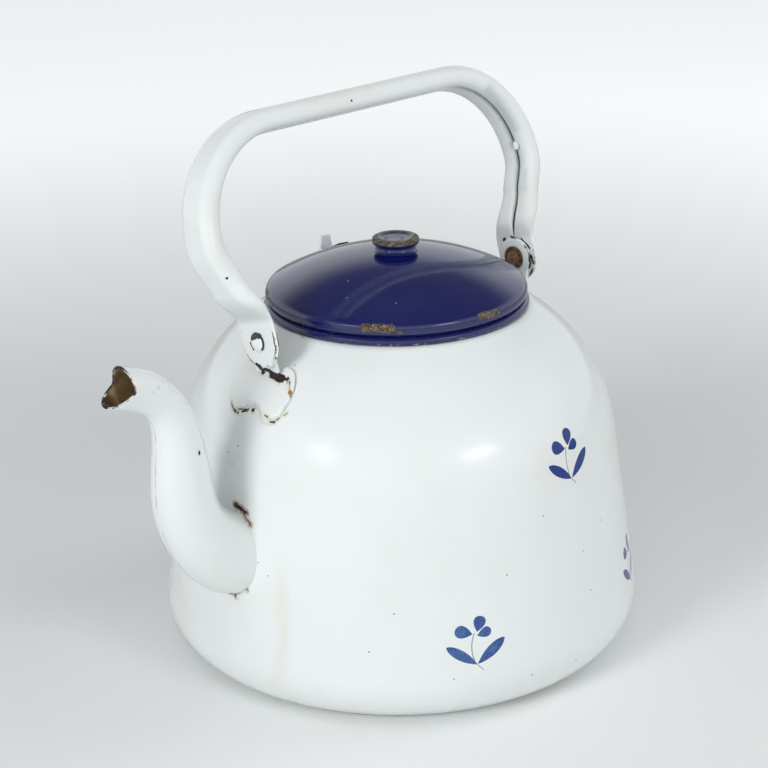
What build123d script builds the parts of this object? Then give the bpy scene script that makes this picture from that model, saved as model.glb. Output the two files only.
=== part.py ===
from build123d import *
import os
from math import cos, radians, sin

# Enamelled sheet-steel tea kettle: lengths in millimetres, angles in degrees.
# The body's axis is Z, the base stands on Z = 0 and the spout points along -X.

# body
BODY_R = 120.0
BODY_WALL = 1.2
BASE_CORNER_R = 22.0
BASE_SEAM_INSET = 10.0
BASE_LAP = 8.0
WALL_LEAN = 8.0
WALL_LENGTH = 85.0
SHOULDER_R = 84.0
SHOULDER_TURN = 44.0
SLOPE_LENGTH = 11.0
NECK_R = 5.0
SEAT_WIDTH = 3.5

# mouth ring
RING_OVERHANG = 3.9
RING_HEIGHT = 4.0
RING_WALL = 1.2
RING_SLEEVE_DEPTH = 4.0

# spout, as stations along its middle line: distance beyond BODY_R, height and half height of the oval
SPOUT_STATIONS = [
    (62.3, 180.9, 9.9),
    (50.3, 174.4, 9.8),
    (30.8, 164.1, 9.6),
    (21.4, 144.1, 11.6),
    (18.9, 109.9, 15.4),
    (6.8, 85.5, 17.8),
    (-19.3, 73.3, 18.4),
]
SPOUT_MOUTH_SLOPE = 29.0
SPOUT_ROOT_SLOPE = 25.0
SPOUT_WALL = 1.2
SPOUT_OVERRUN = 3.0
SPOUT_WIDTH_RATIO = 0.9
MOUTH_STATION = 1
MOUTH_NOTCH_DEPTH = 2.7
MOUTH_NOTCH_RISE = 0.7
MOUTH_NOTCH_ANGLE = 55.0
MOUTH_NOTCH_CORNER_R = 3.0

# ears
EAR_STANDOFF = 27.0
EAR_THICKNESS = 1.8
EAR_HEAD_R = 10.5
EAR_NECK_WIDTH = 17.0
EAR_STRAIGHT = 8.5
EAR_DROP = 24.0
EAR_SET_IN = 5.0
FOOT_LOBE_R = 8.5
FOOT_LOBE_SPREAD = 10.5
FOOT_LOBE_OUT = 0.8
FOOT_NOTCH_OUT = 6.8
PIVOT_RISE = 3.0

# rivets of the bail
RIVET_R = 2.5
RIVET_HEAD_R = 5.0
RIVET_HEAD_HEIGHT = 2.2
RIVET_TAIL_R = 3.8
RIVET_TAIL_HEIGHT = 1.6
RIVET_WASHER_R = 6.0
RIVET_WASHER_THICKNESS = 1.0
RIVET_RUNNING_GAP = 0.08
HEAD_GAP = 0.15

# bail
BAIL_REST_LEAN = 16.6
BAIL_EAR_GAP = 0.3
BAIL_TAB_THICKNESS = 1.8
BAIL_TAB_R = 12.3
BAIL_TAB_LENGTH = 15.0
BAIL_WIDTH = 20.0
BAIL_DEPTH = 11.6
BAIL_ROUND = 5.0
BAIL_WALL = 1.4
BAIL_SLOT = 4.0
LEG_LEAN = 25.7
LEG_START_RISE = 23.0
LEG_START_OUT = 7.2
LEG_LENGTH = 20.5
LEG_BEND_R = 20.0
LEG_BEND_TURN = 27.2
CORNER_R = 48.8

# lid
LID_SET_IN = 0.8
LID_WALL = 1.0
LID_EDGE_R = 5.0
LID_EDGE_RISE = 3.45
LID_RIM_ANGLE = 35.0
LID_RISE = 20.0
COLLAR_CLEARANCE = 0.9
COLLAR_WALL = 1.0
COLLAR_DEPTH = 8.0

# knob
KNOB_NECK_R = 9.4
KNOB_NECK_RISE = 1.2
KNOB_CAP_R = 11.5
KNOB_CAP_HEIGHT = 5.3
KNOB_WALL = 1.2
KNOB_EDGE_R = 1.6
KNOB_DISH_R = 8.2
KNOB_DISH_DEPTH = 0.7
KNOB_RIVET_R = 2.0
KNOB_RIVET_HEAD_R = 4.5
KNOB_RIVET_HEAD_HEIGHT = 1.4
KNOB_WASHER_R = 6.0
KNOB_WASHER_THICKNESS = 1.0

# lid hinge
HINGE_AZIMUTH = 75.0
HINGE_STANDOFF = 4.9
HINGE_RISE = 2.95
HINGE_PIN_R = 1.0
HINGE_PIN_GAP = 0.06
HINGE_PIN_HEAD_R = 1.7
HINGE_PIN_HEAD_LENGTH = 0.8
KNUCKLE_R = 2.5
KNUCKLE_LENGTH = 5.8
CHEEK_GAP = 0.3
CHEEK_THICKNESS = 1.4
CHEEK_R = 2.6
STOP_GAP = 0.6
STOP_THICKNESS = 1.4
STOP_RISE = 9.0
STOP_TOP_WIDTH = 4.6
STOP_BASE_WIDTH = 14.0
BRACKET_DROP = 16.0
BRACKET_FOOT_OUT = 9.0
LEAF_THICKNESS = 1.2
LEAF_REACH = 10.0

# lengths of cutting tools, long enough to pass right through
DRILL_LENGTH = 30.0
NOTCH_REACH = 40.0
NOTCH_WIDTH = 60.0
HALF_SPACE_SIZE = 500.0


def turned(edges):
    """Solid of revolution about Z from edges drawn as (radius, height)."""
    return revolve(Plane.XZ * make_face(Curve() + edges), Axis.Z)


def ring_solid(inner, outer, low, high):
    """Plain ring about Z between two radii and two heights."""
    points = [(inner, low), (outer, low), (outer, high), (inner, high), (inner, low)]
    return turned(Polyline(*points).edges())


def outline_up(grow):
    """Body outline from the base seam to the mouth, moved outward by grow."""
    flat = Line((BODY_R - BASE_CORNER_R - BASE_SEAM_INSET, -grow), (BODY_R - BASE_CORNER_R, -grow))
    corner = JernArc(flat @ 1, flat % 1, BASE_CORNER_R + grow, 90 + WALL_LEAN)
    wall = Line(corner @ 1, corner @ 1 + corner % 1 * WALL_LENGTH)
    shoulder = JernArc(wall @ 1, wall % 1, SHOULDER_R + grow, SHOULDER_TURN)
    slope = Line(shoulder @ 1, shoulder @ 1 + shoulder % 1 * SLOPE_LENGTH)
    neck = JernArc(slope @ 1, slope % 1, NECK_R + grow, 90 - WALL_LEAN - SHOULDER_TURN)
    seat = Line(neck @ 1, neck @ 1 - Vector(SEAT_WIDTH, 0))
    return [flat, corner, wall, shoulder, slope, neck, seat]


def body_blank(grow=0.0):
    """The whole volume inside the body's outer surface, moved outward by grow."""
    edges = outline_up(grow)
    base = edges[0] @ 0
    top = edges[-1] @ 1
    axis_points = [top, (0, top.Y), (0, base.Y), base]
    return turned(edges + list(Polyline(*axis_points).edges()))


# places that the other pieces take from the body
mouth = outline_up(0)[-1] @ 1
MOUTH_R = mouth.X
SEAT_Z = mouth.Y
SEAM_R = BODY_R - BASE_CORNER_R - BASE_SEAM_INSET
RING_R = MOUTH_R + RING_OVERHANG
RING_BORE_R = MOUTH_R - RING_WALL
RING_TOP_Z = SEAT_Z + RING_HEIGHT
PIVOT_Z = SEAT_Z + PIVOT_RISE
EAR_X = MOUTH_R + EAR_STANDOFF
TAB_IN_X = EAR_X + BAIL_EAR_GAP
TAB_OUT_X = TAB_IN_X + BAIL_TAB_THICKNESS
LID_R = RING_R - LID_SET_IN
LID_EDGE_Z = RING_TOP_Z + LID_EDGE_RISE
LID_TOP_Z = LID_EDGE_Z + LID_RISE
HINGE_R = RING_R + HINGE_STANDOFF
HINGE_Z = RING_TOP_Z + HINGE_RISE


def spout_middle():
    """Smooth middle line of the spout in the plane Y = 0, from the mouth to the root."""
    points = [(-BODY_R - out, 0, height) for out, height, _ in SPOUT_STATIONS]
    slopes = [radians(SPOUT_MOUTH_SLOPE), radians(SPOUT_ROOT_SLOPE)]
    ends = [(cos(slope), 0, -sin(slope)) for slope in slopes]
    return Spline(*points, tangents=ends)


def spout_solid(shrink, overrun):
    """Swan neck of oval sections, made thinner by shrink all round and longer by overrun at both ends."""
    middle = spout_middle()
    last = len(SPOUT_STATIONS) - 1
    sections = []
    for index, (out, height, half) in enumerate(SPOUT_STATIONS):
        centre = Vector(-BODY_R - out, 0, height)
        along = middle.tangent_at(middle.param_at_point(centre))
        if index in (0, last):
            centre += along * (overrun if index else -overrun)
        plane = Plane(origin=centre, x_dir=(0, 1, 0), z_dir=along)
        oval = Ellipse(half * SPOUT_WIDTH_RATIO - shrink, half - shrink)
        sections.append(plane * oval)
    return loft(sections)


def mouth_notch():
    """Round-tipped wedge that cuts back the sides of the spout's mouth between its top and its lip."""
    middle = spout_middle()
    out, height, _ = SPOUT_STATIONS[MOUTH_STATION]
    centre = Vector(-BODY_R - out, 0, height)
    along = middle.tangent_at(middle.param_at_point(centre))
    plane = Plane(origin=centre + along * MOUTH_NOTCH_DEPTH, x_dir=along, z_dir=(0, -1, 0))
    ahead = NOTCH_REACH * cos(radians(MOUTH_NOTCH_ANGLE))
    aside = NOTCH_REACH * sin(radians(MOUTH_NOTCH_ANGLE))
    tip = (0, MOUTH_NOTCH_RISE)
    wedge = make_face(Polyline(
        tip, (-ahead, MOUTH_NOTCH_RISE + aside), (-ahead, MOUTH_NOTCH_RISE - aside), tip))
    wedge = fillet(wedge.vertices().sort_by(Axis.X)[-1], MOUTH_NOTCH_CORNER_R)
    return extrude(plane * wedge, NOTCH_WIDTH / 2, both=True)


def half_space(side):
    """Large box on one side of the plane Y = 0."""
    return Pos(0, side * HALF_SPACE_SIZE / 2, 0) * Box(HALF_SPACE_SIZE, HALF_SPACE_SIZE, HALF_SPACE_SIZE)


def make_body_shell(bore):
    outer = outline_up(0)
    inner = outline_up(-BODY_WALL)
    ends = [Line(outer[0] @ 0, inner[0] @ 0), Line(outer[-1] @ 1, inner[-1] @ 1)]
    return turned(outer + inner + ends) - bore


def make_base_pan():
    """Flat bottom with a stepped edge that laps over the turned-in edge of the body."""
    step = SEAM_R - BODY_WALL
    points = [
        (0, 0), (SEAM_R, 0), (SEAM_R, BODY_WALL), (SEAM_R + BASE_LAP, BODY_WALL),
        (SEAM_R + BASE_LAP, 2 * BODY_WALL), (step, 2 * BODY_WALL), (step, BODY_WALL),
        (0, BODY_WALL), (0, 0),
    ]
    return turned(Polyline(*points).edges())


def make_mouth_ring():
    """Rolled bead on the body's mouth with a sleeve inside it."""
    bead_r = RING_HEIGHT / 2
    bead = RING_R - bead_r
    low = Line((MOUTH_R, SEAT_Z), (bead, SEAT_Z))
    roll = ThreePointArc((bead, SEAT_Z), (RING_R, SEAT_Z + bead_r), (bead, RING_TOP_Z))
    rest = Polyline(
        (bead, RING_TOP_Z), (RING_BORE_R, RING_TOP_Z), (RING_BORE_R, SEAT_Z - RING_SLEEVE_DEPTH),
        (MOUTH_R, SEAT_Z - RING_SLEEVE_DEPTH), (MOUTH_R, SEAT_Z),
    )
    return turned([low, roll] + list(rest.edges()))


def make_spout_halves(bore, blank):
    tube = spout_solid(0, 0) - bore - mouth_notch() - blank
    return tube & half_space(-1), tube & half_space(1)


def make_ear(blank):
    """Pierced upright strip and lobed foot of the ear on the +X side."""
    top_z = PIVOT_Z + EAR_HEAD_R
    straight_z = PIVOT_Z - EAR_STRAIGHT
    low_z = PIVOT_Z - EAR_DROP
    low_x = EAR_X - EAR_SET_IN
    side = Plane.XZ * make_face(Polyline(
        (EAR_X, top_z), (EAR_X, straight_z), (low_x, low_z), (low_x - EAR_THICKNESS, low_z),
        (EAR_X - EAR_THICKNESS, straight_z), (EAR_X - EAR_THICKNESS, top_z), (EAR_X, top_z)))
    strip = extrude(side, EAR_HEAD_R, both=True)
    face_plane = Plane(origin=(0, 0, PIVOT_Z), x_dir=(0, 1, 0), z_dir=(1, 0, 0))
    face = Circle(EAR_HEAD_R) + Pos(0, -EAR_DROP / 2) * Rectangle(EAR_NECK_WIDTH, EAR_DROP)
    strip &= extrude(face_plane * face, 2 * EAR_X)
    notch_x = EAR_X + FOOT_NOTCH_OUT
    fold_x = low_x - EAR_THICKNESS / 2
    plan = Pos((notch_x + fold_x) / 2, 0) * Rectangle(notch_x - fold_x, EAR_NECK_WIDTH)
    for turn in (-1, 1):
        plan += Pos(EAR_X + FOOT_LOBE_OUT, turn * FOOT_LOBE_SPREAD) * Circle(FOOT_LOBE_R)
    above = Pos(0, 0, PIVOT_Z / 2) * extrude(plan, PIVOT_Z)
    foot = (body_blank(EAR_THICKNESS) - blank) & above
    hole = Pos(EAR_X, 0, PIVOT_Z) * Rot(0, 90, 0) * Cylinder(RIVET_R, DRILL_LENGTH)
    return strip - blank + foot - hole


def lying(piece):
    """Turn a piece made about Z, so that it lies on the pivot axis and points along +X."""
    return Pos(0, 0, PIVOT_Z) * Rot(0, 90, 0) * piece


def domed_head(radius, rise):
    """Spherical cap standing on Z = 0."""
    ball_r = (radius ** 2 + rise ** 2) / (2 * rise)
    slab = Pos(0, 0, rise / 2) * Cylinder(2 * radius, rise)
    return Pos(0, 0, rise - ball_r) * Sphere(ball_r) & slab


def make_rivet():
    """Rivet on the +X side: domed head outside the bail, shank and peened tail inside the washer."""
    head_x = TAB_OUT_X + HEAD_GAP
    tail_x = EAR_X - EAR_THICKNESS - RIVET_WASHER_THICKNESS
    head = Pos(0, 0, head_x) * domed_head(RIVET_HEAD_R, RIVET_HEAD_HEIGHT)
    tail = Pos(0, 0, tail_x) * Rot(180, 0, 0) * domed_head(RIVET_TAIL_R, RIVET_TAIL_HEIGHT)
    return lying(head + ring_solid(0, RIVET_R, tail_x, head_x) + tail)


def make_rivet_washer():
    ear_in_x = EAR_X - EAR_THICKNESS
    return lying(ring_solid(RIVET_R, RIVET_WASHER_R, ear_in_x - RIVET_WASHER_THICKNESS, ear_in_x))


def bail_section():
    """Rolled strip: a rounded box section with a slot in its inner side."""
    outer = RectangleRounded(BAIL_WIDTH, BAIL_DEPTH, BAIL_ROUND)
    hollow = RectangleRounded(
        BAIL_WIDTH - 2 * BAIL_WALL, BAIL_DEPTH - 2 * BAIL_WALL, BAIL_ROUND - BAIL_WALL)
    slot = Pos(0, -BAIL_DEPTH / 2) * Rectangle(BAIL_SLOT, BAIL_DEPTH)
    return outer - hollow - slot


def make_bail():
    """Bail standing upright over the pivot at the origin, then leaned to its rest place."""
    start = Vector(-(TAB_IN_X + BAIL_TAB_THICKNESS / 2 + LEG_START_OUT), LEG_START_RISE)
    direction = Vector(-sin(radians(LEG_LEAN)), cos(radians(LEG_LEAN)))
    leg = Line(start, start + direction * LEG_LENGTH)
    bend = JernArc(leg @ 1, leg % 1, LEG_BEND_R, -LEG_BEND_TURN)
    corner = JernArc(bend @ 1, bend % 1, CORNER_R, -(90 + LEG_LEAN - LEG_BEND_TURN))
    half_bar = Line(corner @ 1, Vector(0, (corner @ 1).Y))
    left = [leg, bend, corner, half_bar]
    right = [mirror(edge, Plane.YZ) for edge in left]
    path = Plane.XZ * Wire([edge.edge() for edge in left + right])
    inward = Vector(cos(radians(LEG_LEAN)), 0, sin(radians(LEG_LEAN)))
    along = Vector(direction.X, 0, direction.Y)
    end_plane = Plane(origin=(start.X, 0, start.Y), x_dir=(0, 1, 0), z_dir=along)
    flip = 180 if end_plane.y_dir.dot(inward) > 0 else 0
    tube = sweep(end_plane * Rot(0, 0, flip) * bail_section(), path=path)

    tab_middle = -(TAB_IN_X + TAB_OUT_X) / 2
    tab_plane = Plane(origin=(-TAB_IN_X, 0, 0), x_dir=(0, 1, 0), z_dir=(-1, 0, 0))
    upright = tab_plane.y_dir.Z
    plate = Pos(0, upright * BAIL_TAB_LENGTH / 2) * Rectangle(2 * BAIL_TAB_R, BAIL_TAB_LENGTH)
    plate += Circle(BAIL_TAB_R)
    tab = extrude(tab_plane * plate, BAIL_TAB_THICKNESS)
    tab_end = Plane(origin=(tab_middle, 0, BAIL_TAB_LENGTH), x_dir=(0, 1, 0), z_dir=(0, 0, 1))
    squash = loft([
        tab_end * Rectangle(2 * BAIL_TAB_R, BAIL_TAB_THICKNESS),
        end_plane * RectangleRounded(BAIL_WIDTH, BAIL_DEPTH, BAIL_ROUND),
    ])
    hole = Pos(tab_middle, 0, 0) * Rot(0, 90, 0) * Cylinder(RIVET_R + RIVET_RUNNING_GAP, DRILL_LENGTH)
    end = tab + squash - hole
    bail = tube + end + mirror(end, Plane.YZ)
    return Pos(0, 0, PIVOT_Z) * Rot(-BAIL_REST_LEAN, 0, 0) * bail


def lid_outline(grow):
    """Lid outline from the rim over the rounded edge to the top, moved outward by grow."""
    edge_centre = LID_R - LID_EDGE_R
    cap_r = (edge_centre ** 2 + LID_RISE ** 2 - LID_EDGE_R ** 2) / (2 * (LID_RISE - LID_EDGE_R))
    cap_centre_z = LID_TOP_Z - cap_r
    meeting = Vector(edge_centre, LID_EDGE_Z - cap_centre_z).get_angle(Vector(1, 0))
    edge = CenterArc((edge_centre, LID_EDGE_Z), LID_EDGE_R + grow, -LID_RIM_ANGLE, LID_RIM_ANGLE + meeting)
    cap = CenterArc((0, cap_centre_z), cap_r + grow, meeting, 90 - meeting)
    return [edge, cap]


def lid_blank(grow=0.0):
    """The whole volume under the lid's surface, moved outward by grow."""
    edges = lid_outline(grow)
    rim = edges[0] @ 0
    top = edges[1] @ 1
    return turned(edges + list(Polyline(top, (0, rim.Y), rim).edges()))


def make_lid_dome():
    outer = lid_outline(0)
    inner = lid_outline(-LID_WALL)
    ends = [Line(outer[0] @ 0, inner[0] @ 0), Line(outer[1] @ 1, inner[1] @ 1)]
    return turned(outer + inner + ends) - Pos(0, 0, LID_TOP_Z) * Cylinder(KNOB_RIVET_R, DRILL_LENGTH)


def make_lid_collar():
    """Sleeve that drops into the mouth, with a flange joined to the inside of the lid's rim."""
    outer_r = RING_BORE_R - COLLAR_CLEARANCE
    flange_z = (lid_outline(-LID_WALL)[0] @ 0).Y
    sleeve = ring_solid(outer_r - COLLAR_WALL, outer_r, flange_z - COLLAR_DEPTH, flange_z + COLLAR_WALL)
    flange = ring_solid(outer_r - COLLAR_WALL, LID_R, flange_z, flange_z + COLLAR_WALL)
    return sleeve + (flange & lid_blank(-LID_WALL))


def make_knob_neck():
    """Pressed cup under the knob's cap, with a flange that the cap is crimped round."""
    web_z = LID_TOP_Z + KNOB_WALL
    flange_z = LID_TOP_Z + KNOB_NECK_RISE
    cavity_r = KNOB_CAP_R - KNOB_WALL
    cup = ring_solid(KNOB_RIVET_R, KNOB_NECK_R, LID_TOP_Z - LID_WALL, flange_z)
    flange = ring_solid(KNOB_NECK_R - KNOB_WALL, cavity_r, flange_z, flange_z + KNOB_WALL)
    inside = ring_solid(0, KNOB_NECK_R - KNOB_WALL, web_z, LID_TOP_Z + KNOB_CAP_HEIGHT)
    return cup - inside - lid_blank() + flange


def make_knob_cap():
    """Hollow disc with a rolled edge and a shallow dish in its top."""
    low_z = LID_TOP_Z + KNOB_NECK_RISE
    disc = Pos(0, 0, low_z + KNOB_CAP_HEIGHT / 2) * Cylinder(KNOB_CAP_R, KNOB_CAP_HEIGHT)
    disc = fillet(disc.edges().filter_by(GeomType.CIRCLE), KNOB_EDGE_R)
    dish_r = (KNOB_DISH_R ** 2 + KNOB_DISH_DEPTH ** 2) / (2 * KNOB_DISH_DEPTH)
    dish = Pos(0, 0, low_z + KNOB_CAP_HEIGHT - KNOB_DISH_DEPTH + dish_r) * Sphere(dish_r)
    cavity_height = KNOB_CAP_HEIGHT - KNOB_WALL - KNOB_DISH_DEPTH
    cavity = Pos(0, 0, low_z + cavity_height / 2) * Cylinder(KNOB_CAP_R - KNOB_WALL, cavity_height)
    return disc - dish - cavity


def make_knob_rivet():
    """Rivet that clamps the knob's cup, the lid and the washer."""
    web_z = LID_TOP_Z + KNOB_WALL
    washer_z = LID_TOP_Z - LID_WALL - KNOB_WASHER_THICKNESS
    tail_z = washer_z - KNOB_RIVET_HEAD_HEIGHT
    head = ring_solid(0, KNOB_RIVET_HEAD_R, web_z, web_z + KNOB_RIVET_HEAD_HEIGHT)
    shank = ring_solid(0, KNOB_RIVET_R, washer_z, web_z)
    tail = ring_solid(0, KNOB_RIVET_HEAD_R, tail_z, washer_z)
    return head + shank + tail


def make_knob_washer():
    low = LID_TOP_Z - LID_WALL - KNOB_WASHER_THICKNESS
    return ring_solid(KNOB_RIVET_R, KNOB_WASHER_R, low, LID_TOP_Z) & lid_blank(-LID_WALL)


def at_hinge(piece):
    """Turn a piece made on the +X side round to the hinge."""
    return Rot(0, 0, HINGE_AZIMUTH) * piece


def hinge_bar(radius, length):
    """Cylinder on the hinge axis, which runs along Y on the +X side."""
    return Pos(HINGE_R, 0, HINGE_Z) * Rot(90, 0, 0) * Cylinder(radius, length)


def make_hinge_bracket(blank):
    """Foot on the shoulder, two cheeks round the knuckle, and a tall stop behind it."""
    cheek_in = KNUCKLE_LENGTH / 2 + CHEEK_GAP
    cheek_out = cheek_in + CHEEK_THICKNESS
    stop_x = HINGE_R + KNUCKLE_R + STOP_GAP
    low_z = HINGE_Z - BRACKET_DROP
    stop_plane = Plane(origin=(stop_x, 0, 0), x_dir=(0, 1, 0), z_dir=(1, 0, 0))
    stop_face = make_face(Polyline(
        (-STOP_BASE_WIDTH / 2, low_z), (STOP_BASE_WIDTH / 2, low_z),
        (STOP_TOP_WIDTH / 2, HINGE_Z + STOP_RISE), (-STOP_TOP_WIDTH / 2, HINGE_Z + STOP_RISE),
        (-STOP_BASE_WIDTH / 2, low_z)))
    stop = extrude(stop_plane * stop_face, STOP_THICKNESS)
    foot_in = HINGE_R - CHEEK_R
    foot_out = HINGE_R + BRACKET_FOOT_OUT
    width = stop_x + STOP_THICKNESS - foot_in
    cheek = Pos(foot_in + width / 2, 0, (low_z + HINGE_Z) / 2) * Box(width, 2 * cheek_out, BRACKET_DROP)
    cheek += hinge_bar(CHEEK_R, 2 * cheek_out)
    cheek += Pos((HINGE_R + stop_x) / 2, 0, HINGE_Z) * Box(stop_x - HINGE_R, 2 * cheek_out, 2 * CHEEK_R)
    room = Pos((RING_R + stop_x) / 2, 0, HINGE_Z) * Box(stop_x - RING_R, 2 * cheek_in, 2 * BRACKET_DROP)
    plan = Pos((foot_in + foot_out) / 2, 0) * Rectangle(foot_out - foot_in, STOP_BASE_WIDTH)
    above = Pos(0, 0, HINGE_Z / 2) * extrude(plan, HINGE_Z)
    foot = (body_blank(STOP_THICKNESS) - blank) & above
    return at_hinge(stop + (cheek - room) - blank + foot - hinge_bar(HINGE_PIN_R, DRILL_LENGTH))


def make_hinge_pin():
    cheek_out = KNUCKLE_LENGTH / 2 + CHEEK_GAP + CHEEK_THICKNESS
    pin = hinge_bar(HINGE_PIN_R, 2 * cheek_out)
    for side in (-1, 1):
        middle = side * (cheek_out + HINGE_PIN_HEAD_LENGTH / 2)
        pin += Pos(0, middle, 0) * hinge_bar(HINGE_PIN_HEAD_R, HINGE_PIN_HEAD_LENGTH)
    return at_hinge(pin)


def make_hinge_leaf():
    """Knuckle on the pin, a strap to the lid's edge and a tongue on the lid."""
    knuckle = hinge_bar(KNUCKLE_R, KNUCKLE_LENGTH)
    strap_z = HINGE_Z + KNUCKLE_R - LEAF_THICKNESS / 2
    strap_in = LID_R - LID_EDGE_R
    strap_block = Box(HINGE_R - strap_in, KNUCKLE_LENGTH, LEAF_THICKNESS)
    strap = Pos((strap_in + HINGE_R) / 2, 0, strap_z) * strap_block
    tongue_in = LID_R - LEAF_REACH
    tongue_out = LID_R + LEAF_THICKNESS
    plan = Pos((tongue_in + tongue_out) / 2, 0) * Rectangle(tongue_out - tongue_in, KNUCKLE_LENGTH)
    above = Pos(0, 0, HINGE_Z) * extrude(plan, LID_RISE)
    tongue = (lid_blank(LEAF_THICKNESS) - lid_blank()) & above
    leaf = (knuckle + strap) - lid_blank() + tongue
    return at_hinge(leaf - hinge_bar(HINGE_PIN_R + HINGE_PIN_GAP, DRILL_LENGTH))


def make_parts():
    blank = body_blank()
    bore = spout_solid(SPOUT_WALL, SPOUT_OVERRUN)
    left_half, right_half = make_spout_halves(bore, blank)
    ear = make_ear(blank)
    rivet = make_rivet()
    washer = make_rivet_washer()
    return {
        "body_shell": make_body_shell(bore),
        "base_pan": make_base_pan(),
        "mouth_ring": make_mouth_ring(),
        "spout_left_half": left_half,
        "spout_right_half": right_half,
        "front_ear": mirror(ear, Plane.YZ),
        "rear_ear": ear,
        "front_rivet": mirror(rivet, Plane.YZ),
        "rear_rivet": rivet,
        "front_rivet_washer": mirror(washer, Plane.YZ),
        "rear_rivet_washer": washer,
        "hinge_bracket": make_hinge_bracket(blank),
        "hinge_pin": make_hinge_pin(),
        "bail_handle": make_bail(),
        "lid_dome": make_lid_dome(),
        "lid_collar": make_lid_collar(),
        "hinge_leaf": make_hinge_leaf(),
        "knob_neck": make_knob_neck(),
        "knob_cap": make_knob_cap(),
        "knob_rivet": make_knob_rivet(),
        "knob_washer": make_knob_washer(),
    }


os.makedirs("parts", exist_ok=True)
for name, piece in make_parts().items():
    piece.label = name
    export_step(piece, f"parts/{name}.step")
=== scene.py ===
from functools import reduce
from math import cos, pi, radians, sin, sqrt, tan

import bmesh
import bpy
from mathutils import Matrix, Vector


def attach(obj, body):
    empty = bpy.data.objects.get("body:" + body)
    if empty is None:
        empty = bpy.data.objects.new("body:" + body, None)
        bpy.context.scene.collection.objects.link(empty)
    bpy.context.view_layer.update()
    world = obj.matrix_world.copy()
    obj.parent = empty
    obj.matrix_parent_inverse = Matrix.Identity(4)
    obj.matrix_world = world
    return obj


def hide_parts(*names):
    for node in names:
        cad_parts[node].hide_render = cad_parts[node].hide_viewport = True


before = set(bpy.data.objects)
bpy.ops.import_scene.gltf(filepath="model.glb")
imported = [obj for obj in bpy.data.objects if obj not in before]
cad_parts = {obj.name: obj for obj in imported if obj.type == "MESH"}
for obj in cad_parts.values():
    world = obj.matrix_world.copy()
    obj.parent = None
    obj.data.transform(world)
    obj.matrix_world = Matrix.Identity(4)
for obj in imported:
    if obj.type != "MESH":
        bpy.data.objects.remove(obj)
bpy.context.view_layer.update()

# Looks of the enamelled kettle. Lengths are in millimetres until a piece is finished, and in metres then.
MM = 0.001

# sizes that the looks share with the solids: leans in degrees, heights above the table, and the rest
# from the kettle's axis, with the spout at -X
WALL_LEAN = 8.0
PIVOT_Z = 174.569
KNOB_FACE_Z = 203.619
EAR_FOOT_Z = (132.0, 158.0)
EAR_X = 88.243
BAIL_LEAN = 16.6
TAB_X = 89.443
SPOUT_AXIS_PLACE = (-170.3, 0.0, 174.4)
SPOUT_AXIS = (0.9046, 0.0, -0.4262)
NOTCH_TIP = (-167.56, 0.0, 173.88)
NOTCH_ANGLE = 55.0
NOTCH_CORNER_R = 3.0
FOOT_X = 89.04
FOOT_R = 8.5
FOOT_SPREAD = 10.5
FOOT_NOTCH_X = 95.04

# sprigs: height of the low ones, how much higher the upper ones are, and the turns between them
SPRIG_Z, SPRIG_RISE, SPRIG_SPLIT_Z = 43.4, 75.1, 80.0
LOW_SPRIG_TURN, LOW_SPRIG_HALF_GAP = 62.3, 30.0
HIGH_SPRIG_TURN, HIGH_SPRIG_HALF_GAP = 93.7, 90.0
# how deep a chip is and how much the glaze waves, and the grain and rounds that soften the ears
CHIP_DEPTH, GLAZE_WAVE = 0.25, 0.02
SKIN_GRAIN, SKIN_ROUNDS = 0.4, 4


def paint(red, green, blue):
    """A colour from 0 to 255 as the eye sees it, made linear."""
    shares = [value / 255 for value in (red, green, blue)]
    return tuple(s / 12.92 if s <= 0.04045 else ((s + 0.055) / 1.055) ** 2.4 for s in shares)


WHITE = paint(233, 238, 238)
WHITE_AGED = paint(224, 226, 217)
# ochre for stains and wear on the body, also used for a painted shade by the front ear's foot
OCHRE_STAIN_AND_SHADE = paint(214, 200, 158)
COBALT = paint(6, 14, 84)
COBALT_WORN = paint(40, 42, 92)
PRINT_BLUE = paint(0, 46, 126)
PRINT_FADED = paint(76, 114, 168)
STEM_GREY = paint(96, 112, 132)
GROUND_COAT = paint(34, 30, 32)
RUST = paint(92, 52, 28)
RUST_PALE = paint(190, 128, 70)
CHIP_EDGE = paint(206, 196, 140)
OLD_STEEL = paint(118, 98, 74)
LIME_BROWN = paint(128, 104, 66)
BORE_PALE = paint(192, 164, 118)
BORE_DARK = paint(134, 108, 82)
BORE_DEEP = paint(58, 42, 42)
# grey of grime in the spout's seam, also used for painted shade on the bail
GRIME_AND_SHADE_GREY = paint(104, 104, 96)
# bluish grey of a painted shade down the bail's rear leg, beside its seam
LEG_SHADE_PAINT = paint(124, 138, 146)
STAIN_GREEN = paint(168, 182, 140)
RIVET_DARK, RIVET_GREY = paint(22, 20, 20), paint(66, 62, 58)
SCAB_DARK, SCAB_BROWN, SCAB_PALE = paint(38, 30, 34), paint(104, 88, 58), paint(156, 142, 108)
SCAB_LIP = paint(36, 32, 46)
FLECK_PALE = paint(150, 156, 176)
RING_PALE = paint(196, 200, 204)
KNOB_BROWN, KNOB_PALE = paint(52, 42, 38), paint(140, 124, 92)
KNOB_WORN, KNOB_EDGE = paint(62, 66, 76), paint(40, 36, 44)
FLOOR_LIT, FLOOR_SEEN = paint(240, 242, 242), paint(242, 244, 244)
FLOOR_GLOW = (0.50, 0.51, 0.515)
DAY = (0.95, 0.975, 1.0)
GLAZE_IOR, COBALT_IOR = 1.5, 1.68


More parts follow.
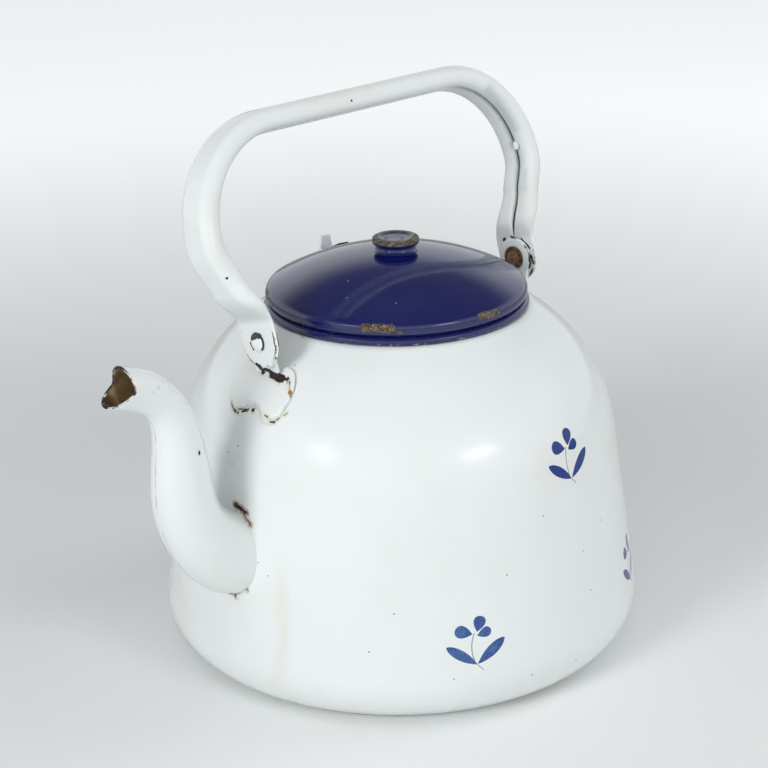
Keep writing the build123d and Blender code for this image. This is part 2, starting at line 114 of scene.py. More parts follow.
# chips and stains: a stroke is its start, end and radius, and a spot its place and radius
EAR_FOOT_CHIPS = [
    ((-96.3, 14.1, 143.3), (-97.2, 12.8, 142.0), 0.25),
    ((-97.2, 12.8, 142.0), (-97.5, 10.8, 139.9), 0.4),
    ((-97.5, 10.6, 139.7), 1.0),
    ((-97.3, 8.7, 139.1), 0.6),
    ((-97.0, 8.5, 141.0), (-95.9, 2.4, 142.2), 0.4),
    ((-96.6, 6.1, 140.3), (-96.2, 2.9, 141.4), 0.5),
    ((-95.7, -0.5, 142.5), 1.0),
    ((-96.2, -6.5, 143.1), (-96.9, -12.0, 142.7), 0.4),
    ((-96.9, -12.0, 142.7), (-96.4, -14.2, 140.9), 0.25),
    ((-96.4, -14.0, 140.7), (-95.9, -15.6, 140.6), 0.55),
    ((-95.0, -16.0, 141.3), (-91.7, -20.3, 145.2), 0.12),
    ((-84.9, -13.2, 157.6), (-87.0, -15.6, 153.2), 0.34),
    ((-84.9, -14.8, 157.3), (-87.3, -17.7, 153.9), 0.34),
]
ROOT_CHIPS = [
    ((-109.3, -1.2, 98.7), (-109.6, -5.0, 97.9), 1.2),
    ((-109.6, -5.0, 98.0), (-109.8, -8.6, 97.0), 0.8),
    ((-109.7, -6.2, 96.8), (-109.9, -11.6, 92.0), 0.32),
    ((-120.4, -7.6, 58.6), (-117.6, -6.4, 56.4), 0.5),
    ((-115.8, -5.4, 55.0), 0.7),
    ((-114.4, -12.2, 60.0), 0.3),
]
FOLD_CHIPS = [
    ((-86.3, 5.2, 161.4), (-86.1, 2.6, 158.6), 1.7),
    ((-86.2, 3.0, 160.6), (-86.2, -4.2, 159.6), 1.45),
    ((-86.1, -3.4, 158.8), (-85.4, -9.8, 157.7), 2.2),
    ((-85.4, -9.8, 157.6), (-84.7, -12.6, 158.1), 0.9),
    ((-84.6, -13.0, 158.2), 1.0),
    ((86.1, 6.0, 159.6), (86.3, -1.5, 158.2), 0.8),
]
BAIL_CHIPS = [
    ((-90.1, -10.2, 181.7), (-90.0, -12.0, 173.6), 0.3),
    ((-90.1, -11.2, 171.5), (-89.8, -11.6, 169.0), 0.3),
    ((88.6, 9.4, 181.6), (88.6, 8.4, 182.6), 0.7),
    ((88.8, 4.2, 184.6), (88.8, 3.2, 184.2), 0.6),
    ((88.7, -3.0, 184.6), (88.6, -8.6, 181.0), 0.55),
    ((88.7, -9.8, 177.0), (88.8, -11.2, 173.0), 0.6),
    ((-90.3, 1.8, 163.2), (-90.3, -1.0, 162.5), 1.0),
    ((-90.3, 5.5, 172.9), (-90.3, 3.4, 170.2), 0.55),
    ((88.8, -10.6, 170.0), (88.8, -9.0, 166.6), 0.5),
    ((-9.7, 18.4, 271.3), 0.6),
    ((-106.2, 1.2, 209.2), 0.6),
    ((-103.8, 0.9, 202.8), (-103.0, 0.1, 201.0), 0.35),
]
LID_CHIPS = [
    ((-54.6, -33.6, 180.4), (-47.0, -43.6, 180.2), 2.2),
    ((-45.8, -45.0, 179.0), (-44.0, -46.8, 178.4), 1.0),
    ((-7.4, -63.6, 180.9), (3.6, -64.0, 180.4), 1.9),
    ((-49.6, 41.0, 180.4), (-54.4, 33.6, 180.6), 1.7),
    ((-56.2, 30.6, 180.2), (-59.4, 23.4, 179.2), 1.0),
]
SPOUT_STAINS = [
    ((-155.2, -7.6, 172.4), 0.9), ((-158.6, -8.2, 171.2), 0.5), ((-151.8, -6.6, 173.6), 0.6),
]
# places of pinholes in the body's coat and of pale flecks in the lid's, with one radius for each kind
PIN_HOLE_R, LID_FLECK_R = 0.38, 0.4
PIN_HOLES = [
    (-14.2, -109.0, 95.1), (28.9, -108.5, 78.3), (10.5, -113.0, 69.8), (13.8, -115.6, 48.7),
    (-36.8, -107.0, 72.1), (-83.2, -79.3, 59.5), (-92.8, -72.2, 40.9), (-65.4, -100.1, 26.5),
    (-29.2, -116.3, 20.2), (-1.2, -119.6, 18.3), (-104.9, 8.1, 121.7), (-106.3, 3.8, 117.2),
    (-103.7, 2.0, 126.1), (-111.3, -18.1, 75.1), (-110.9, -23.9, 70.0), (-86.2, -16.8, 153.3),
    (-65.6, -3.0, 171.4), (-65.8, -4.4, 171.2), (-77.4, -10.4, 162.4),
]
LID_FLECKS = [(-47.6, -15.2, 189.0), (-36.2, -36.3, 188.5), (-38.2, -6.2, 193.1)]
# petals and leaves of a sprig, flat: start, end, half of the width, and whether the end is round
SPRIG_LEAVES = [
    ((0.8, 4.2), (3.2, 11.8), 3.2, True),
    ((-1.3, 3.4), (-9.8, 6.3), 3.25, True),
    ((0.6, 2.4), (7.8, 4.4), 2.65, True),
    ((0.5, -11.7), (-14.3, -1.5), 2.6, False),
    ((0.3, -11.5), (14.5, -0.7), 2.85, False),
]


# shader maths

class Wire:
    """One output of a finish's nodes. Arithmetic on it adds Math nodes."""

    def __init__(self, finish, socket):
        self.finish = finish
        self.socket = socket

    def math(self, operation, *values):
        return self.finish.add("Math", {"operation": operation}, *values)

    def __add__(self, other):
        return self.math("ADD", self, other)

    def __radd__(self, other):
        return self.math("ADD", other, self)

    def __sub__(self, other):
        return self.math("SUBTRACT", self, other)

    def __rsub__(self, other):
        return self.math("SUBTRACT", other, self)

    def __mul__(self, other):
        return self.math("MULTIPLY", self, other)

    def __rmul__(self, other):
        return self.math("MULTIPLY", other, self)

    def __truediv__(self, other):
        return self.math("DIVIDE", self, other)

    def __rtruediv__(self, other):
        return self.math("DIVIDE", other, self)

    def __pow__(self, other):
        return self.math("POWER", self, other)

    def __neg__(self):
        return self.math("MULTIPLY", self, -1.0)

    def __abs__(self):
        return self.math("ABSOLUTE", self)

    def __lt__(self, other):
        return self.math("LESS_THAN", self, other)

    def __gt__(self, other):
        return self.math("GREATER_THAN", self, other)

    def least(self, other):
        return self.math("MINIMUM", self, other)

    def most(self, other):
        return self.math("MAXIMUM", self, other)

    def wrapped(self, half):
        """Brings it to between -half and half by whole turns."""
        return self.math("WRAP", self, half, -half)

    def smooth(self, low, high):
        """Goes softly from 0 at low to 1 at high; low may be the larger."""
        return self.finish.add("MapRange", {"interpolation_type": "SMOOTHSTEP"}, self, low, high)


class Tree:
    """A node tree, and the one way that nodes are added to it."""

    def __init__(self, tree):
        self.tree = tree
        tree.nodes.clear()

    def add(self, kind, settings=None, *values, out=None, **named):
        """Adds a node: its settings first, then its sockets in order or by name. Returns one output."""
        node = self.tree.nodes.new("ShaderNode" + kind)
        for key, value in (settings or {}).items():
            setattr(node, key, value)
        shown = [socket for socket in node.inputs if socket.enabled]
        pairs = list(zip(shown, values))
        pairs += [(node.inputs[key.replace("_", " ")], value) for key, value in named.items()]
        for socket, value in pairs:
            self.plug(socket, value)
        shown = [socket for socket in node.outputs if socket.enabled]
        return Wire(self, node.outputs[out] if out else shown[0]) if shown else node

    def vector(self, operation, *values):
        """Adds a Vector Math node; a dot product, a distance and a length are numbers."""
        out = "Value" if operation in ("DOT_PRODUCT", "DISTANCE", "LENGTH") else "Vector"
        return self.add("VectorMath", {"operation": operation}, *values, out=out)

    def part(self, vector, axis):
        """One of a vector's three numbers."""
        return self.add("SeparateXYZ", {}, vector, out=axis)

    def plug(self, socket, value):
        if isinstance(value, Wire):
            self.tree.links.new(value.socket, socket)
        elif socket.type == "RGBA":
            socket.default_value = (*value, 1.0)
        else:
            socket.default_value = value


class Finish(Tree):
    """A material with the places and patterns that every finish of the kettle uses."""

    def __init__(self, name):
        self.material = bpy.data.materials.new(name)
        self.material.use_nodes = True
        super().__init__(self.material.node_tree)
        here = self.add("TexCoord", out="Object")
        self.place = self.vector("SCALE", here, 1 / MM)
        self.x = self.part(self.place, "X")
        self.y = self.part(self.place, "Y")
        self.z = self.part(self.place, "Z")

    def turn(self):
        """Degrees round the body from the spout's side, from -180 to 180."""
        return self.add("Math", {"operation": "ARCTAN2"}, self.y, -self.x) * (180 / pi)

    def faces_out(self):
        """1 where the surface faces away from the body's axis or down, and 0 on the inside."""
        normal = self.add("TexCoord", {}, out="Normal")
        flat = self.add("Mapping", {}, self.place, Scale=(1, 1, 0))
        outward = self.vector("DOT_PRODUCT", normal, flat)
        down = self.part(normal, "Z")
        return outward.most(down * -40.0) > 0.0

    def noise(self, size, detail=2.0, seed=(0, 0, 0), stretch=(1, 1, 1)):
        """Cloudy pattern from 0 to 1 whose patches are about size millimetres wide."""
        moved = self.add("Mapping", {}, self.place, Location=seed, Scale=[1 / (size * s) for s in stretch])
        return self.add("TexNoise", {}, moved, Scale=1.0, Detail=detail)

    def ragged(self, width):
        """Makes a chip's edge ragged, by up to half of the width either way."""
        return (self.noise(1.3, 3, seed=(3, 3, 6)) - 0.5) * width

    def specks(self, cell, share, largest, seed=(0, 0, 0)):
        """Scattered round specks: cell is their spacing, share how many cells have one."""
        moved = self.add("Mapping", {}, self.place, Location=seed, Scale=(1 / cell,) * 3)
        far = self.add("TexVoronoi", {}, moved, Scale=1.0)
        luck = self.part(self.add("TexVoronoi", {}, moved, Scale=1.0, out="Color"), "X")
        size = (share - luck) / share * largest / cell
        return (size - far).smooth(0.0, 0.25 / cell)

    def mix(self, share, first, second):
        return self.add("Mix", {"data_type": "RGBA"}, share, first, second, out="Result")

    def from_spot(self, spot, radius, shape=(1, 1, 1)):
        """Distance outside a round spot, in millimetres; shape stretches the spot."""
        if shape == (1, 1, 1):
            return self.vector("DISTANCE", self.place, spot) - radius
        inwards = [-s / k for s, k in zip(spot, shape)]
        moved = self.add("Mapping", {}, self.place, Location=inwards, Scale=[1 / k for k in shape])
        return self.vector("LENGTH", moved) - radius

    def from_stroke(self, start, end, radius):
        """Distance outside a thick line between two points."""
        start, along = Vector(start), Vector(end) - Vector(start)
        reach = self.vector("SUBTRACT", self.place, tuple(start))
        unit = tuple(along / along.length_squared)
        share = self.vector("DOT_PRODUCT", reach, unit)
        share = self.add("Clamp", {}, share, 0.0, 1.0)
        foot = self.vector("SCALE", tuple(along), share)
        return self.vector("DISTANCE", reach, foot) - radius

    def marks(self, rows):
        """Distance outside the nearest of a table's strokes and spots."""
        away = [self.from_stroke(*row) if len(row) == 3 else self.from_spot(*row) for row in rows]
        return reduce(Wire.least, away)

    def enamel(self, glaze, bare, tint=None, gloss=0.1, ior=GLAZE_IOR):
        """Glassy coat with chips down to the steel. bare is 1 in a chip, and tint is the rust round it."""
        rough = gloss + self.noise(30, 3, seed=(4, 1, 9)) * 0.10 + self.noise(2.2, 2, seed=(7, 3, 5)) * 0.03
        height = (self.noise(16, 2, seed=(3, 8, 1)) * 3.0 + self.noise(5, 1, seed=(6, 2, 2))) * GLAZE_WAVE
        colour = glaze
        if tint is not None:
            rusty = self.mix(self.noise(1.6, 3).smooth(0.35, 0.65), RUST, RUST_PALE)
            colour = self.mix(tint, colour, rusty)
        patch = self.noise(1.1, 3, seed=(2, 5, 7)).smooth(0.5, 0.7)
        colour = self.mix(bare, colour, self.mix(patch, GROUND_COAT, RUST))
        return self.surface(colour, rough + bare * 0.5, height - bare * CHIP_DEPTH, ior=ior)

    def surface(self, colour, rough, height, metallic=0.0, ior=GLAZE_IOR):
        bump = self.add("Bump", {}, Strength=1.0, Distance=MM, Height=height)
        shader = self.add("BsdfPrincipled", {}, Base_Color=colour, Roughness=rough, Metallic=metallic, IOR=ior,
                          Normal=bump)
        self.add("OutputMaterial", {}, shader)
        return self.material


# finishes

def from_centre(across, up):
    """Distance of a flat place from its centre."""
    return (across * across + up * up) ** 0.5


def white_glaze(finish):
    """White enamel with the faint cream clouds of age."""
    cloud = finish.noise(45, 3, seed=(1, 2, 3)).smooth(0.45, 0.85) * 0.5
    return finish.mix(cloud, WHITE, WHITE_AGED)


def sprig_masks(finish):
    """Printed sprigs, low on the wall and on the shoulder. Returns the leaves' mask and the stems'."""
    turn = finish.turn()
    radius = from_centre(finish.x, finish.y)
    upper = finish.z > SPRIG_SPLIT_Z
    low_turn = (turn + LOW_SPRIG_TURN).wrapped(LOW_SPRIG_HALF_GAP)
    high_turn = (turn + HIGH_SPRIG_TURN).wrapped(HIGH_SPRIG_HALF_GAP)
    across = (low_turn + (high_turn - low_turn) * upper) * radius * (-pi / 180)
    up = (finish.z - SPRIG_Z - upper * SPRIG_RISE) / cos(radians(WALL_LEAN))

    def leaf(start, end, half, drop):
        """Inside distance of a leaf or petal from start to end; a petal with drop is round at its end."""
        length = sqrt((end[0] - start[0]) ** 2 + (end[1] - start[1]) ** 2)
        cx, cy = (end[0] - start[0]) / length, (end[1] - start[1]) / length
        along = (across * cx + up * cy - (start[0] * cx + start[1] * cy)) / length
        aside = abs(across * cy - up * cx - (start[0] * cy - start[1] * cx))
        rest = (1.0 - along).most(0.0)
        if drop:
            width = along.most(0.0) * rest ** 0.5 * (half / 0.385)
        else:
            width = along.most(0.0) ** 0.9 * rest ** 0.65 * (half / 0.351)
        return width - aside

    inside = reduce(Wire.most, [leaf(*row) for row in SPRIG_LEAVES])
    bow = (up + 3.5) / 7.5
    stem = 0.28 - abs(across + 2.1 - bow * bow * 1.6)
    stem = stem.least(up + 11.5).least(3.9 - up)
    tail = 0.3 - abs(across - 0.6 - (-12.0 - up) * 0.95)
    tail = tail.least(up + 14.8).least(-11.6 - up)
    clear_of_spout = abs(turn) > 30.0
    outside = finish.faces_out() * clear_of_spout
    print_mask = inside.smooth(0.02, 0.3) * outside
    stem_mask = stem.most(tail).smooth(-0.1, 0.15) * outside
    return print_mask, stem_mask


def foot_line(finish):
    """Distance from the outline of the ears' feet, which is the same from above on both sides."""
    side, across = abs(finish.x), abs(finish.y)
    lobe = ((side - FOOT_X) ** 2.0 + (across - FOOT_SPREAD) ** 2.0) ** 0.5 - FOOT_R
    middle = (side - FOOT_NOTCH_X).most(across - FOOT_R)
    past_foot = (finish.z - EAR_FOOT_Z[1]).most(0.0) + (EAR_FOOT_Z[0] - finish.z).most(0.0)
    return abs(lobe.least(middle)) + past_foot


def edge_rust(finish):
    """Rust that bleeds from a pinhole at the right edge of the front foot."""
    spread = finish.noise(1.4, 3, seed=(6, 1, 8)) * 1.6 - 0.8
    spot = finish.from_spot((-87.8, -18.3, 153.6), 0.9)
    run = finish.from_spot((-88.2, -18.9, 152.1), 0.5)
    return (spot + spread).smooth(0.9, -0.4).most(run.smooth(0.5, -0.2))


def body_enamel():
    """White enamel of the body, with its prints, chips, pinholes, wear and the lime inside."""
    finish = Finish("white enamel of the body")
    colour = white_glaze(finish)
    outside = finish.faces_out()
    turn = finish.turn()
    wobble = finish.noise(7, 3, seed=(9, 9, 1)) - 0.5

    streak = abs(turn + 16.5 + wobble * 3.0).smooth(3.4, 0.6)
    streak = streak * finish.z.smooth(86.0, 60.0) * finish.z.smooth(6.0, 22.0)
    thin = finish.noise(10, 3, seed=(5, 5, 5), stretch=(1, 1, 5)).smooth(0.3, 0.75)
    colour = finish.mix(streak * (0.05 + thin * 0.17) * outside, colour, OCHRE_STAIN_AND_SHADE)

    # painted yellowish shade round the front ear's foot
    painted_ear_shade = finish.from_spot((-88, -6, 151), 9.0, (1, 1.2, 0.7)).smooth(9.0, -2.0) * thin
    colour = finish.mix(painted_ear_shade * 0.22 * outside, colour, OCHRE_STAIN_AND_SHADE)
    foot_wear = finish.z.smooth(13.0, 6.0) * finish.noise(8, 4, seed=(7, 7, 7)).smooth(0.45, 0.7) * 0.3
    colour = finish.mix(foot_wear * outside, colour, OCHRE_STAIN_AND_SHADE)
    inner = (1.0 - outside) * finish.noise(22, 4, seed=(2, 2, 8)).smooth(0.35, 0.8)
    colour = finish.mix(inner * 0.6, colour, LIME_BROWN)

    prints, stems = sprig_masks(finish)
    flecks = finish.noise(0.9, 2, seed=(5, 7, 4)).smooth(0.45, 0.65) * 0.3
    clouds = finish.noise(6, 2, seed=(1, 7, 4)).smooth(0.35, 0.7) * 0.4
    faded = (clouds + 0.25 + flecks) * finish.x.smooth(30.0, -10.0)
    blue = finish.mix(faded * finish.z.smooth(90.0, 60.0), PRINT_BLUE, PRINT_FADED)
    colour = finish.mix(prints, colour, blue)
    colour = finish.mix(stems * 0.85, colour, STEM_GREY)

    # chips at the ear's foot, the spout's root and on the wall
    ragged = finish.ragged(1.5)
    chip = finish.marks(ROOT_CHIPS) + ragged * 0.8
    foot_chip = finish.marks(EAR_FOOT_CHIPS) + ragged * 0.5
    foot_edge = foot_line(finish) - 0.15 + finish.noise(5, 3, seed=(3, 9, 9)) * 0.4
    holes = finish.marks([(place, PIN_HOLE_R) for place in PIN_HOLES]) + ragged * 0.25
    low_wear = finish.z.smooth(62.0, 14.0)
    fine = finish.specks(11.0, 0.16, 0.42, seed=(3, 1, 4)) * (0.35 + low_wear * 0.65)
    worn_foot = finish.specks(5.0, 0.22, 0.5, seed=(8, 1, 2)) * finish.z.smooth(22.0, 9.0)
    bare = chip.smooth(0.15, -0.15).most(holes.smooth(0.12, -0.12) * 0.75).most(fine * 0.8).most(worn_foot)
    bare = bare.most(foot_chip.smooth(0.15, -0.15)).most(foot_edge.smooth(0.2, -0.1) * 0.55) * outside
    rusty = chip.smooth(2.2, 0.1) * 0.75 * finish.noise(3, 3, seed=(4, 4, 4)).smooth(0.32, 0.54)
    rusty = rusty.most(edge_rust(finish))
    yellow = foot_chip.smooth(1.8, 0.0) * 0.5 * finish.noise(3, 3, seed=(4, 9, 4)).smooth(0.4, 0.6)
    colour = finish.mix(yellow * outside, colour, CHIP_EDGE)
    return finish.enamel(colour, bare, rusty * outside)


def spout_enamel():
    """White enamel of the spout: rusty scale in its bore, and a rim that has lost its coat in places."""
    finish = Finish("white enamel of the spout")
    colour = white_glaze(finish)
    tip = Vector(NOTCH_TIP)
    inwards, upwards = Vector(SPOUT_AXIS), Vector((-SPOUT_AXIS[2], 0, SPOUT_AXIS[0]))
    in_place = finish.vector("SUBTRACT", finish.place, tuple(tip))
    along = finish.vector("DOT_PRODUCT", in_place, tuple(inwards))
    aside = abs(finish.vector("DOT_PRODUCT", in_place, tuple(upwards)))
    open_angle = radians(NOTCH_ANGLE)
    flat_cut = along * sin(open_angle) + aside * cos(open_angle)
    centre = NOTCH_CORNER_R / sin(open_angle)
    round_cut = ((along + centre) ** 2.0 + aside * aside) ** 0.5 - NOTCH_CORNER_R
    at_tip = aside < (along + centre) * (cos(open_angle) / sin(open_angle))
    to_rim = flat_cut + (round_cut - flat_cut) * at_tip
    torn = finish.noise(2.4, 3)
    far_side = finish.y.smooth(-4.0, 1.0)
    rim_width = far_side * 0.28 - 0.14 + (torn - 0.5) * 1.8
    rim = (abs(to_rim) - rim_width).smooth(0.25, -0.15) * (finish.x < -158.0)

    axis_place = finish.vector("SUBTRACT", finish.place, SPOUT_AXIS_PLACE)
    reach = finish.vector("DOT_PRODUCT", axis_place, SPOUT_AXIS)
    nearest = finish.vector("SCALE", SPOUT_AXIS, reach)
    outward = finish.vector("SUBTRACT", axis_place, nearest)
    normal = finish.add("TexCoord", {}, out="Normal")
    facing = finish.vector("DOT_PRODUCT", normal, outward)
    in_bore = (facing < -1.0) * (finish.z > 150.0) * (finish.x < -145.0) * (to_rim > 0.08)
    scale = finish.mix(finish.noise(5, 4, seed=(1, 5, 1)).smooth(0.3, 0.7), BORE_PALE, BORE_DARK)
    deep = finish.from_spot((-175.5, 4.0, 168.5), 2.0).smooth(6.0, 0.0)
    scale = finish.mix(deep * 0.9, scale, BORE_DEEP)
    colour = finish.mix(in_bore, colour, scale)

    # faint grey seam line of grime along the spout, and near the mouth a painted seam shadow
    seam = abs(finish.y).smooth(0.45, 0.1) * finish.noise(9, 3, seed=(6, 6, 6)).smooth(0.38, 0.6)
    seam = seam.most(abs(finish.y).smooth(0.5, 0.1) * finish.x.smooth(-158.0, -162.0))
    colour = finish.mix(seam * 0.5, colour, GRIME_AND_SHADE_GREY)
    ragged = finish.ragged(1.5)
    chip = finish.marks(ROOT_CHIPS) + ragged * 0.8
    spot = finish.from_spot((-137.0, -10.6, 136.5), 0.75, (1, 1, 1.6)) + ragged * 0.3
    stains = finish.marks(SPOUT_STAINS)
    colour = finish.mix(stains.smooth(0.6, -0.4) * 0.35, colour, STAIN_GREEN)
    bare = chip.smooth(0.15, -0.15).most(rim).most(spot.smooth(0.15, -0.15))
    bare = bare.most(finish.specks(14.0, 0.12, 0.3, seed=(5, 2, 4)))
    rusty = chip.smooth(1.6, 0.1) * 0.75 * finish.noise(3, 3, seed=(4, 4, 4)).smooth(0.36, 0.58)
    return finish.enamel(colour, bare, rusty)


def ear_enamel():
    """White enamel of the ears, chipped where the strip is folded, round its foot and at its head."""
    finish = Finish("white enamel of the ears")
    ragged = (finish.noise(1.5, 4, seed=(2, 9, 3)) - 0.5) * 2.4
    fold = finish.marks(FOLD_CHIPS) + ragged
    foot_chip = finish.marks(EAR_FOOT_CHIPS) + finish.ragged(0.75)
    edge = foot_line(finish) - 0.1 + finish.noise(5, 3, seed=(3, 9, 9)) * 0.45
    from_pivot = from_centre(finish.y, finish.z - PIVOT_Z)
    head = abs(from_pivot - 10.3) - 0.3 + (finish.noise(4, 3, seed=(9, 4, 1)) - 0.42) * 2.6
    bare = fold.smooth(0.2, -0.3).most(foot_chip.smooth(0.15, -0.15)).most(edge.smooth(0.2, -0.1) * 0.6)
    bare = bare.most(head.smooth(0.2, -0.2) * (finish.z > 168.0))
    bare = bare.most(finish.specks(7.0, 0.12, 0.35, seed=(5, 2, 4)))
    yellow = foot_chip.smooth(1.8, 0.0).most(fold.smooth(1.4, 0.0) * finish.z.smooth(158.0, 156.0))
    yellow = yellow * 0.55 * finish.noise(3, 3, seed=(4, 9, 4)).smooth(0.38, 0.6)
    colour = finish.mix(yellow, white_glaze(finish), CHIP_EDGE)
    return finish.enamel(colour, bare, edge_rust(finish), gloss=0.12)


def bail_enamel():
    """White enamel of the bail: chips at its pressed ends, and painted shade along its seam, above its pressed
    ends and down the rear leg's bend.
    """
    finish = Finish("white enamel of the bail")
    colour = white_glaze(finish)
    lean = radians(BAIL_LEAN)
    y_up = finish.y * cos(lean) - (finish.z - PIVOT_Z) * sin(lean)
    z_up = finish.y * sin(lean) + (finish.z - PIVOT_Z) * cos(lean)
    from_pivot = from_centre(y_up, z_up)
    low = z_up.smooth(26.0, 8.0)
    torn = finish.noise(2.4, 4, seed=(7, 7, 1))
    ring = abs(from_pivot - 12.0).smooth(0.8, 0.2) * torn.smooth(0.52, 0.6) * z_up.smooth(8.0, 0.0) * 0.8
    chips = finish.marks(BAIL_CHIPS) + finish.ragged(0.9)
    inward = finish.part(finish.add("TexCoord", {}, out="Normal"), "X") * finish.x < -4.0
    # painted shade on the legs' inner sides along the rolled seam
    seam = y_up.smooth(-5.0, -1.5) * y_up.smooth(1.2, 0.6) * z_up.smooth(24.0, 50.0) * inward
    # painted shade across each leg where it is pressed flat above its end
    shade = z_up.smooth(22.0, 13.5) * z_up.smooth(8.0, 11.5) * 0.2
    colour = finish.mix(shade.most(seam * 0.22), colour, GRIME_AND_SHADE_GREY)
    # painted shade down the rear leg's bend and lower leg, beside the seam
    bend = finish.marks([
        ((84.5, 16.6, 261.0), (94.0, 15.4, 251.0), 0.8), ((94.0, 15.4, 251.0), (101.0, 13.0, 239.5), 0.8),
    ])
    leg = finish.from_stroke((100.6, 5.8, 216.5), (96.5, 2.2, 208.5), 0.2)
    painted_leg_shade = (bend.smooth(4.2, -1.2) * 0.36).most(leg.smooth(3.0, -1.4) * 0.26)
    colour = finish.mix(painted_leg_shade, colour, LEG_SHADE_PAINT)
    fine = finish.specks(7.0, 0.2, 0.4, seed=(1, 6, 4)) * (0.1 + low * 0.8)
    bare = ring.most(chips.smooth(0.15, -0.15)).most(fine)
    return finish.enamel(colour, bare, gloss=0.12)


def rivet_enamel():
    """White heads with a dark line round them and a worn patch; the tails are browned steel."""
    finish = Finish("white enamel of the rivets")
    from_pivot = from_centre(finish.y, finish.z - PIVOT_Z)
    torn = finish.noise(1.6, 3, seed=(1, 4, 2))
    ragged = (torn - 0.5) * 1.3 + (finish.noise(3.4, 2, seed=(8, 4, 2)) - 0.5) * 2.4
    patch = finish.from_stroke((-91.6, 4.4, 176.8), (-91.5, -1.4, 178.4), 1.8) + ragged
    line = abs(from_pivot - 4.5 + torn * 0.15) - 0.36 + (finish.z - 170.8).smooth(1.0, -0.6) * 1.5
    bare = patch.smooth(0.2, -0.2).most(line.smooth(0.15, -0.1) * (torn - finish.y * 0.08).smooth(0.36, 0.44))
    tail = abs(finish.x) < EAR_X
    steel = finish.mix(finish.noise(1.4, 3, seed=(2, 2, 7)).smooth(0.35, 0.65), OLD_STEEL, RUST)
    worn_steel = finish.mix(torn.smooth(0.45, 0.6), RIVET_DARK, RIVET_GREY)
    colour = finish.mix(bare, white_glaze(finish), worn_steel)
    colour = finish.mix(tail, colour, steel)
    rough = 0.14 + bare.most(tail) * 0.35
    height = finish.noise(0.9, 3, seed=(6, 2, 2)) * 0.06 * tail - bare * 0.15
    return finish.surface(colour, rough, height)


def lid_enamel():
    """Cobalt enamel, chipped to brown steel in large scabs on the lid's rim."""
    finish = Finish("cobalt enamel of the lid")
    worn = finish.noise(26, 4, seed=(2, 4, 2)).smooth(0.4, 0.9) * 0.35
    scratch = finish.noise(1.2, 1, seed=(1, 8, 8), stretch=(26, 1, 26)).smooth(0.69, 0.74)
    scratch = scratch.most(finish.noise(1.1, 1, seed=(7, 1, 8), stretch=(1, 22, 22)).smooth(0.70, 0.75))
    colour = finish.mix(worn.most(scratch * 0.25), COBALT, COBALT_WORN)
    ragged = (finish.noise(1.9, 4, seed=(3, 3, 6)) - 0.5) * 4.6
    chip = finish.marks(LID_CHIPS) + ragged * 0.5
    flecks = finish.marks([(place, LID_FLECK_R) for place in LID_FLECKS])
    bare = chip.smooth(0.3, -0.3).most(finish.specks(9.0, 0.13, 0.3, seed=(5, 5, 4)) * 0.7)
    grain = finish.noise(1.1, 3, seed=(2, 2, 7))
    steel = finish.mix(grain.smooth(0.46, 0.58), SCAB_DARK, SCAB_BROWN)
    steel = finish.mix(finish.noise(0.9, 2, seed=(2, 8, 7)).smooth(0.56, 0.64), steel, SCAB_PALE)
    steel = finish.mix(chip.smooth(-0.8, 0.1), steel, SCAB_LIP)
    colour = finish.mix(bare, colour, steel)
    colour = finish.mix(flecks.smooth(0.1, -0.1) * 0.7, colour, FLECK_PALE)
    rough = 0.07 + finish.noise(24, 3, seed=(4, 1, 9)) * 0.06 + scratch * 0.06 + bare * 0.5
    height = finish.noise(14, 2, seed=(3, 8, 1)) * 0.05 - bare * (0.25 - grain * 0.3)
    return finish.surface(colour, rough, height, ior=COBALT_IOR)


def ring_enamel():
    """Cobalt enamel of the mouth's ring, torn to pale ground along its lower edge."""
    finish = Finish("cobalt enamel of the mouth ring")
    radius = from_centre(finish.x, finish.y)
    low = finish.z.smooth(173.6, 172.0) * (radius > 61.0)
    torn = finish.noise(2.2, 4, seed=(7, 2, 1))
    pale = low * torn.smooth(0.60, 0.66)
    colour = finish.mix(pale * 0.75, COBALT, RING_PALE)
    bare = torn.smooth(0.60, 0.68) * finish.noise(12, 2, seed=(3, 3, 3)).smooth(0.5, 0.7)
    bare = bare.most(finish.specks(5.0, 0.15, 0.35, seed=(5, 5, 4)))
    return finish.enamel(colour, bare * 0.9, ior=COBALT_IOR)


def knob_enamel():
    """Cobalt enamel worn through to brown steel on the knob's top edge."""
    finish = Finish("cobalt enamel of the knob")
    radius = from_centre(finish.x, finish.y)
    torn = (finish.noise(2.6, 4, seed=(2, 3, 1)) - 0.5) * 2.8
    front = ((finish.x + finish.y * 0.9) * -1.0).smooth(-6.0, 6.0)
    top = finish.z > KNOB_FACE_Z
    band = (abs(radius - 9.6) - 0.2 - front * 1.7 + torn).smooth(0.4, -0.4) * top
    edge = (abs(radius - 11.2) - 0.5 + torn * 0.5).smooth(0.3, -0.3) * top * 0.7
    curl = abs(((finish.x + 1.5) ** 2.0 + (finish.y + 0.5) ** 2.0) ** 0.5 - 4.2) - 0.7 + torn * 0.4
    curl = curl.smooth(0.3, -0.3) * (finish.x + finish.y < 2.0) * top * 0.8
    grain = finish.noise(1.1, 3, seed=(2, 2, 7)).smooth(0.42, 0.62)
    steel = finish.mix(grain, KNOB_BROWN, KNOB_PALE)
    worn = finish.noise(5, 3, seed=(1, 1, 1)).smooth(0.35, 0.65) * top
    colour = finish.mix(worn * 0.9, COBALT, KNOB_WORN)
    colour = finish.mix(edge.most(curl), colour, KNOB_EDGE)
    colour = finish.mix(band, colour, steel)
    bare = band.most(edge * 0.5)
    rough = 0.10 + bare * 0.45 + curl * 0.2 + top * 0.14
    height = finish.noise(4, 2) * 0.05 - band * (0.25 - grain * 0.2)
    return finish.surface(colour, rough, height, ior=COBALT_IOR)


